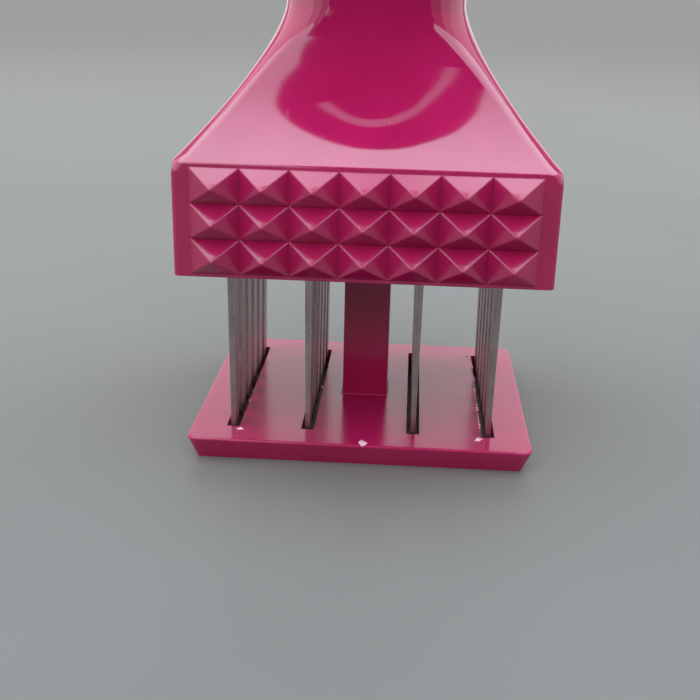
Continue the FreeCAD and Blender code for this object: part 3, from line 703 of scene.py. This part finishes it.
# %% [markdown]
# ## The return spring
#
# A compression spring has closed ends: its first and last turn lie flat against the next
# one, so that it stands square. A Spiral curve with no height gives the turns, and moving
# its points up by their share of the length gives the pitch: small at both ends and even
# in between. Curve to Mesh sweeps the wire along it.

# %% Wind the spring
CLOSED_SHARE = 0.1                   # the first and the last of its ten turns lie flat


def make_spring():
    maker = Maker("coil_spring", turns=10.0, radius=4.7 * MM, wire=0.4 * MM,
                  start=39.5 * MM, length=40.0 * MM)
    size = maker.size
    spiral = maker.node("GeometryNodeCurveSpiral", {}, {
        "Resolution": 40, "Rotations": size["turns"], "Start Radius": size["radius"],
        "End Radius": size["radius"], "Height": 0.0})
    along = maker.node("GeometryNodeSplineParameter", output="Factor")
    open_part = maker.node("ShaderNodeMapRange", {}, {
        "Value": along, "From Min": CLOSED_SHARE, "From Max": 1 - CLOSED_SHARE})
    closed_rise = size["turns"] * size["wire"] * 2
    rise = along * closed_rise + open_part * (size["length"] - closed_rise - size["wire"] * 2)
    wound = maker.node("GeometryNodeSetPosition", {}, {
        "Geometry": spiral, "Offset": maker.vector(z=rise + size["start"] + size["wire"])})
    section = maker.node("GeometryNodeCurvePrimitiveCircle", {"mode": "RADIUS"}, {
        "Resolution": 10, "Radius": size["wire"]})
    swept = maker.node("GeometryNodeCurveToMesh", {}, {
        "Curve": wound, "Profile Curve": section, "Fill Caps": True})
    return maker.make(swept, spring_steel)


coil_spring = make_spring()

# %% [markdown]
# ## Flash on the guard plate
#
# The guard is a cheap moulding, and where its slots were closed off in the mould a little
# plastic squeezed out. A few torn chips stand at the ends of the slots and on the front
# edge, smaller ones lie near the post, and a ragged row of flakes runs along one side of
# the right-hand slot. One jagged chip is modelled. Geometry Nodes set it on chosen
# points, each with the size that its point carries as a radius, and on a line of points
# whose sizes are random. However wide a chip is, it stays under 0.3 mm high, because the
# plate slides up to 0.3 mm under the rim of the head.

# %% Model one jagged chip
# turn in radians and reach in millimetres of each point round its foot
CHIP_RIM = ((0.1, 0.50), (0.9, 0.42), (1.7, 0.50), (2.6, 0.36), (3.5, 0.55), (4.6, 0.40), (5.4, 0.30))
CHIP_FLATNESS = 0.7                  # its depth as a share of its width
CROWN_SHARE = 0.6                    # size of the crown as a share of the foot
CROWN_LEAN = (0.04, 0.03)
CROWN_LOW, CROWN_STEP = 0.12, 0.15   # height of the lowest torn points, and from one to the next


def make_chip():
    """A chip about a millimetre across: a rim on the plate, and a crown of torn points."""
    bm = bmesh.new()
    rim = [bm.verts.new(Vector((reach * math.cos(turn), CHIP_FLATNESS * reach * math.sin(turn), 0)) * MM)
           for turn, reach in CHIP_RIM]
    tears = [Vector((*CROWN_LEAN, CROWN_LOW + CROWN_STEP * (number % 3))) * MM for number in range(len(rim))]
    crown = [bm.verts.new(point.co * CROWN_SHARE + tear) for point, tear in zip(rim, tears)]
    for number in range(len(rim)):
        ahead = (number + 1) % len(rim)
        bm.faces.new((rim[number], rim[ahead], crown[ahead], crown[number]))
    bmesh.ops.poke(bm, faces=[bm.faces.new(crown)])
    bm.faces.new(reversed(rim))
    return to_object(bm, "chip", torn_plastic)


chip = make_chip()
print("one chip:", len(chip.data.polygons), "faces")

# %% Set it on the plate
# x, y and width of each chosen chip, in millimetres
CHIPS = ((0.55, -20.8, 2.3), (-17.6, -17.9, 1.25), (17.3, -17.9, 1.6), (-17.7, -7.5, 0.7), (-17.7, -3.5, 0.5),
         (-7.0, -0.6, 0.6), (-3.5, -3.5, 0.4), (3.6, -3.4, 0.45), (17.3, 16.9, 0.8))


def make_flash():
    maker = Maker("moulding_flash", chip=chip, level=3.48 * MM, edge=17.7 * MM, back=16.5 * MM,
                  run=-32.0 * MM, flakes=34, smallest=0.22 * MM, largest=0.72 * MM, tallest=0.62,
                  turned_by=6.28, seed=7)
    size = maker.size
    spots = [maker.node("GeometryNodePoints", {}, {
        "Count": 1, "Position": maker.vector(x * MM, y * MM, size["level"]), "Radius": width * MM})
        for x, y, width in CHIPS]
    line = maker.node("GeometryNodeMeshLine", {}, {
        "Count": size["flakes"], "Start Location": maker.vector(size["edge"], size["back"], size["level"]),
        "Offset": maker.vector(y=size["run"] / size["flakes"])})
    widths = maker.random(size["smallest"], size["largest"], size["seed"] + 1)
    flakes = maker.node("GeometryNodeMeshToPoints", {}, {"Mesh": line, "Radius": widths})
    turns = maker.random(0.0, size["turned_by"], size["seed"])
    width = maker.node("GeometryNodeInputRadius") / MM
    scale = maker.vector(width, width, width.math("MINIMUM", size["tallest"]))
    placed = maker.scattered(maker.joined(*spots, flakes), size["chip"],
                             Rotation=maker.vector(z=turns), Scale=scale)
    return maker.make(placed, torn_plastic)


flash = make_flash()
bpy.data.objects.remove(chip)

# %% [markdown]
# ## Dress the frame
#
# The guard, the end cap, the cassette and the blades already have their final shape in
# the frame, so they only get a finish. The new pieces say which body they ride on, and
# the frame's pieces they are made again for are hidden. The spring, which is soft as
# seen from the joint, gets a mesh of its own.

# %% Finishes for the pieces that keep their mesh
def dress(node, material):
    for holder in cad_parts[node].material_slots:
        holder.material = material


PLAIN_NODES = {"guard_plate": guard_plastic, "end_cap": handle_plastic, "blade_carrier": inner_plastic,
               "blade_clamp_plate": inner_plastic, "post_washer": screw_steel, "post_screw": screw_steel}
blades = [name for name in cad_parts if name.startswith("blade_") and name[-1].isdigit()]
PLAIN_NODES.update({name: blade_steel for name in blades})
for node, material in PLAIN_NODES.items():
    dress(node, material)
print(len(PLAIN_NODES), "nodes dressed,", len(blades), "of them blades")

# %% Say what body each new piece rides on, and hide the pieces it is made again for
for piece in (handle, pyramid_faces, cassette_screws, coil_spring):
    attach(piece, "handle")
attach(flash, "guard")
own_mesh(coil_spring)
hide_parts("handle_body")
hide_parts("carrier_screws")
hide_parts("return_spring")
print("pieces placed")

# %% [markdown]
# ## The studio
#
# Glossy plastic shows its surroundings, so the lights are shapes as much as brightness.
# A white ceiling and white walls, as in a light tent, lay a pale veil over every face
# that leans up or sideways. The studio is built from the ground up: a floor, the room
# round it, the ceiling and what hangs in it, and the walls.
#
# The floor is plain paper. Its far part fades into the colour of the room, so that no
# horizon crosses the picture. The fading is only for rays that the camera or a mirror
# would see. Soft light that bounces off the floor meets paper everywhere.

# %% Floor
BACKDROP = rgb(0.35, 0.35, 0.35)
FADE_START, FADE_END = 0.35, 1.0     # distances from the tool in metres


def seen_directly(tree):
    """1 for rays from the camera, and for those that polish or glass sends on."""
    rays = [tree.node("ShaderNodeLightPath", output=ray)
            for ray in ("Is Camera Ray", "Is Glossy Ray", "Is Transmission Ray")]
    return rays[0].math("MAXIMUM", rays[1]).math("MAXIMUM", rays[2])


def make_floor():
    """A plain pale grey floor with a faint grain. Far off it fades into the backdrop."""
    finish = Finish("studio_floor", Roughness=0.5, Specular_IOR_Level=0.3)
    grain = finish.noise(0.01, detail=3.0)
    paper = finish.mix(grain.ramp(0.3, 0.7), rgb(0.157, 0.146, 0.138), rgb(0.167, 0.155, 0.147))
    far = finish.node("ShaderNodeVectorMath", {"operation": "LENGTH"}, {0: finish.place}, output="Value")
    glow = finish.node("ShaderNodeEmission", {}, {"Color": BACKDROP, "Strength": 1.0})
    surface = finish.node("ShaderNodeMixShader", {}, {
        0: far.ramp(FADE_START, FADE_END) * seen_directly(finish), 1: finish.surface, 2: glow})
    finish.feed(finish.end, surface)
    finish.finish(Base_Color=paper)
    bm = bmesh.new()
    bmesh.ops.create_circle(bm, cap_ends=True, radius=4.0, segments=96)
    floor = to_object(bm, "studio_floor", finish.material)


make_floor()
print("the floor fades out between", FADE_START, "and", FADE_END, "m")

# %% The room all round
def make_world():
    """Pale grey in every direction."""
    world = bpy.data.worlds.new("studio")
    world.use_nodes = True
    room = Tree(world.node_tree)
    world.node_tree.nodes.clear()
    around = room.node("ShaderNodeBackground", {}, {"Color": BACKDROP, "Strength": 1.0})
    room.node("ShaderNodeOutputWorld", {}, {"Surface": around})
    scene.world = world


make_world()
print("room:", scene.world.name)

# %% [markdown]
# ### The ceiling
#
# The ceiling is brightest at the back, fades towards the front, and has a long notch with
# a round end over the front of the tool. The middle of the flare reflects that notch, and
# so keeps its deep magenta with a soft U-shaped edge. Area lamps can't have a notch, so
# the ceiling is a mesh that glows.

# %% The ceiling with its notch
CEILING = 0.95                           # all places in the studio are in metres
FRONT, BACK, SIDE = -1.6, 0.55, 0.70
NOTCH = Vector((-0.031, -0.300))         # centre of its round end
NOTCH_REACH = Vector((0.104, 0.302))
MOUTH_RIGHT = ((0.34, FRONT), (0.34, -0.9), (0.08, -0.45))
MOUTH_LEFT = ((-0.138, -0.75), (-0.19, FRONT))
DIM_Y, BRIGHT_Y = -0.5, 0.2              # a panel that fades does so between these
COOL_WHITE = rgb(0.74, 0.90, 1.0)


def emitter(name, radiance, front_share):
    """A glowing material, or black card where it hardly glows. It may fade towards the front."""
    material = blank_material(name)
    glow = Tree(material.node_tree)
    place = glow.node("ShaderNodeTexCoord", output="Object")
    towards_back = glow.node("ShaderNodeSeparateXYZ", {}, {0: place}, output="Y").ramp(DIM_Y, BRIGHT_Y)
    shade = glow.node("ShaderNodeMix", {"data_type": "RGBA"}, {
        0: towards_back, 6: [part * front_share for part in COOL_WHITE], 7: COOL_WHITE}, output=2)
    light = glow.node("ShaderNodeEmission", {}, {"Color": shade, "Strength": radiance})
    glow.node("ShaderNodeOutputMaterial", {}, {"Surface": light})
    return material


def panel(name, faces, radiance, front_share=1.0):
    """A flat glowing panel of one or more faces, hidden from the camera."""
    bm = bmesh.new()
    for corners in faces:
        bm.faces.new([bm.verts.new(corner) for corner in corners])
    bmesh.ops.triangulate(bm, faces=bm.faces, ngon_method="EAR_CLIP")
    made = to_object(bm, name, emitter(name, radiance, front_share))
    made.visible_camera = False


def at_ceiling(places):
    """Points in the plane of the ceiling."""
    return [(x, y, CEILING) for x, y in places]


def round_end(centre, reach, start=0, stop=180, steps=24):
    """Points along the round end of a notch, from its right side over the back to its left."""
    turns = [math.radians(start + (stop - start) * step / steps) for step in range(steps + 1)]
    return at_ceiling((centre.x + reach.x * math.cos(turn), centre.y + reach.y * math.sin(turn))
                      for turn in turns)


ceiling = at_ceiling(((-SIDE, FRONT), (-SIDE, BACK), (SIDE, BACK), (SIDE, FRONT), *MOUTH_RIGHT))
ceiling += round_end(NOTCH, NOTCH_REACH) + at_ceiling(MOUTH_LEFT)
panel("ceiling", [ceiling], radiance=4.8, front_share=0.58)
print("corners of the ceiling:", len(ceiling))

# %% [markdown]
# ### In the notch and in front
#
# Gloss is drawn with dark as much as with light. A faint crescent hangs in the notch and
# draws a thin arc on the flare. A black lid over the notch and a black card at its mouth
# keep the pale room out of the reflection. To the left of the card a pale wall closes the
# front and a second one turns the corner. One narrow bright strip stands just before the
# card's left edge, for a thin glint. None of these is seen by the camera itself.

# %% A faint crescent, black cards and a pale wall
CRESCENT = Vector((-0.036, -0.90))       # centre of both its edges
CRESCENT_REACHES = Vector((0.0945, 0.787)), Vector((0.0815, 0.743))      # outer and inner edge
CRESCENT_TURNS = (11, 125)               # degrees
BLACK = 0.02                             # radiance of black card
LID = ((-0.3, FRONT), (0.4, FRONT), (0.4, 0.05), (-0.3, 0.05))
LID_Z = 1.0
CARD_EDGE = -0.19                        # where the black card ends and the pale wall begins


def upright(left, right, low, high, y=FRONT):
    """The corners of a rectangle that stands across the front."""
    return [(left, y, low), (right, y, low), (right, y, high), (left, y, high)]


outer, inner = (round_end(CRESCENT, reach, *CRESCENT_TURNS) for reach in CRESCENT_REACHES)
panel("notch_light", zip(outer, outer[1:], inner[1:], inner), radiance=1.45)
panel("black_lid", [[(x, y, LID_Z) for x, y in LID]], radiance=BLACK)
panel("black_card", [upright(CARD_EDGE, 0.9, 0.0, LID_Z)], radiance=BLACK)
panel("front_wall", [upright(-SIDE, CARD_EDGE, 0.0, CEILING)], radiance=0.6)
left_front = ((-SIDE, FRONT, 0.0), (-SIDE, -SIDE, 0.0), (-SIDE, -SIDE, CEILING), (-SIDE, FRONT, CEILING))
panel("left_front", [left_front], radiance=1.2)
panel("glint", [upright(-0.184, -0.168, 0.12, 0.34, y=FRONT + 0.01)], radiance=12.0)

# %% [markdown]
# ### The walls
#
# Plain rectangles of light do for the walls, so these are area lamps. One more lamp in
# front fills the shadows low on the tool with a slightly warm light. It is left out of
# mirror reflections, because its image would lie across the flare as a bright band.

# %% The walls and the fill lamp
def wall(name, place, look_at, width, height, radiance, colour=(1, 1, 1), mirrored=True):
    """A rectangular area lamp. The radiance is how bright its face is."""
    light = bpy.data.lights.new(name, "AREA")
    light.shape = "RECTANGLE"
    light.size, light.size_y = width, height
    light.energy = radiance * math.pi * width * height
    light.color = colour
    lamp = bpy.data.objects.new(name, light)
    lamp.location = place
    lamp.rotation_euler = (Vector(look_at) - Vector(place)).to_track_quat("-Z", "Y").to_euler()
    lamp.visible_camera = False
    lamp.visible_glossy = mirrored
    scene.collection.objects.link(lamp)


# name, place, what it faces, width, height and radiance
wall("left_wall", (-0.71, 0.0, 0.5), (0, 0.0, 0.5), 1.4, 0.9, 1.4)
wall("right_wall", (0.71, 0.3, 0.5), (0, 0.3, 0.5), 0.8, 0.9, 1.1)
wall("right_front", (0.71, -0.3, 0.5), (0, -0.3, 0.5), 0.4, 0.9, 0.6)
wall("back_wall", (0, 1.3, 0.4), (0, 0, 0.4), 1.8, 0.8, 1.0)
wall("fill", (0.05, -1.1, 0.85), (0, 0, 0.05), 1.0, 0.6, 2.7, colour=(1.0, 0.90, 0.78), mirrored=False)

# %% Set the view transform
scene.view_settings.view_transform = "Standard"
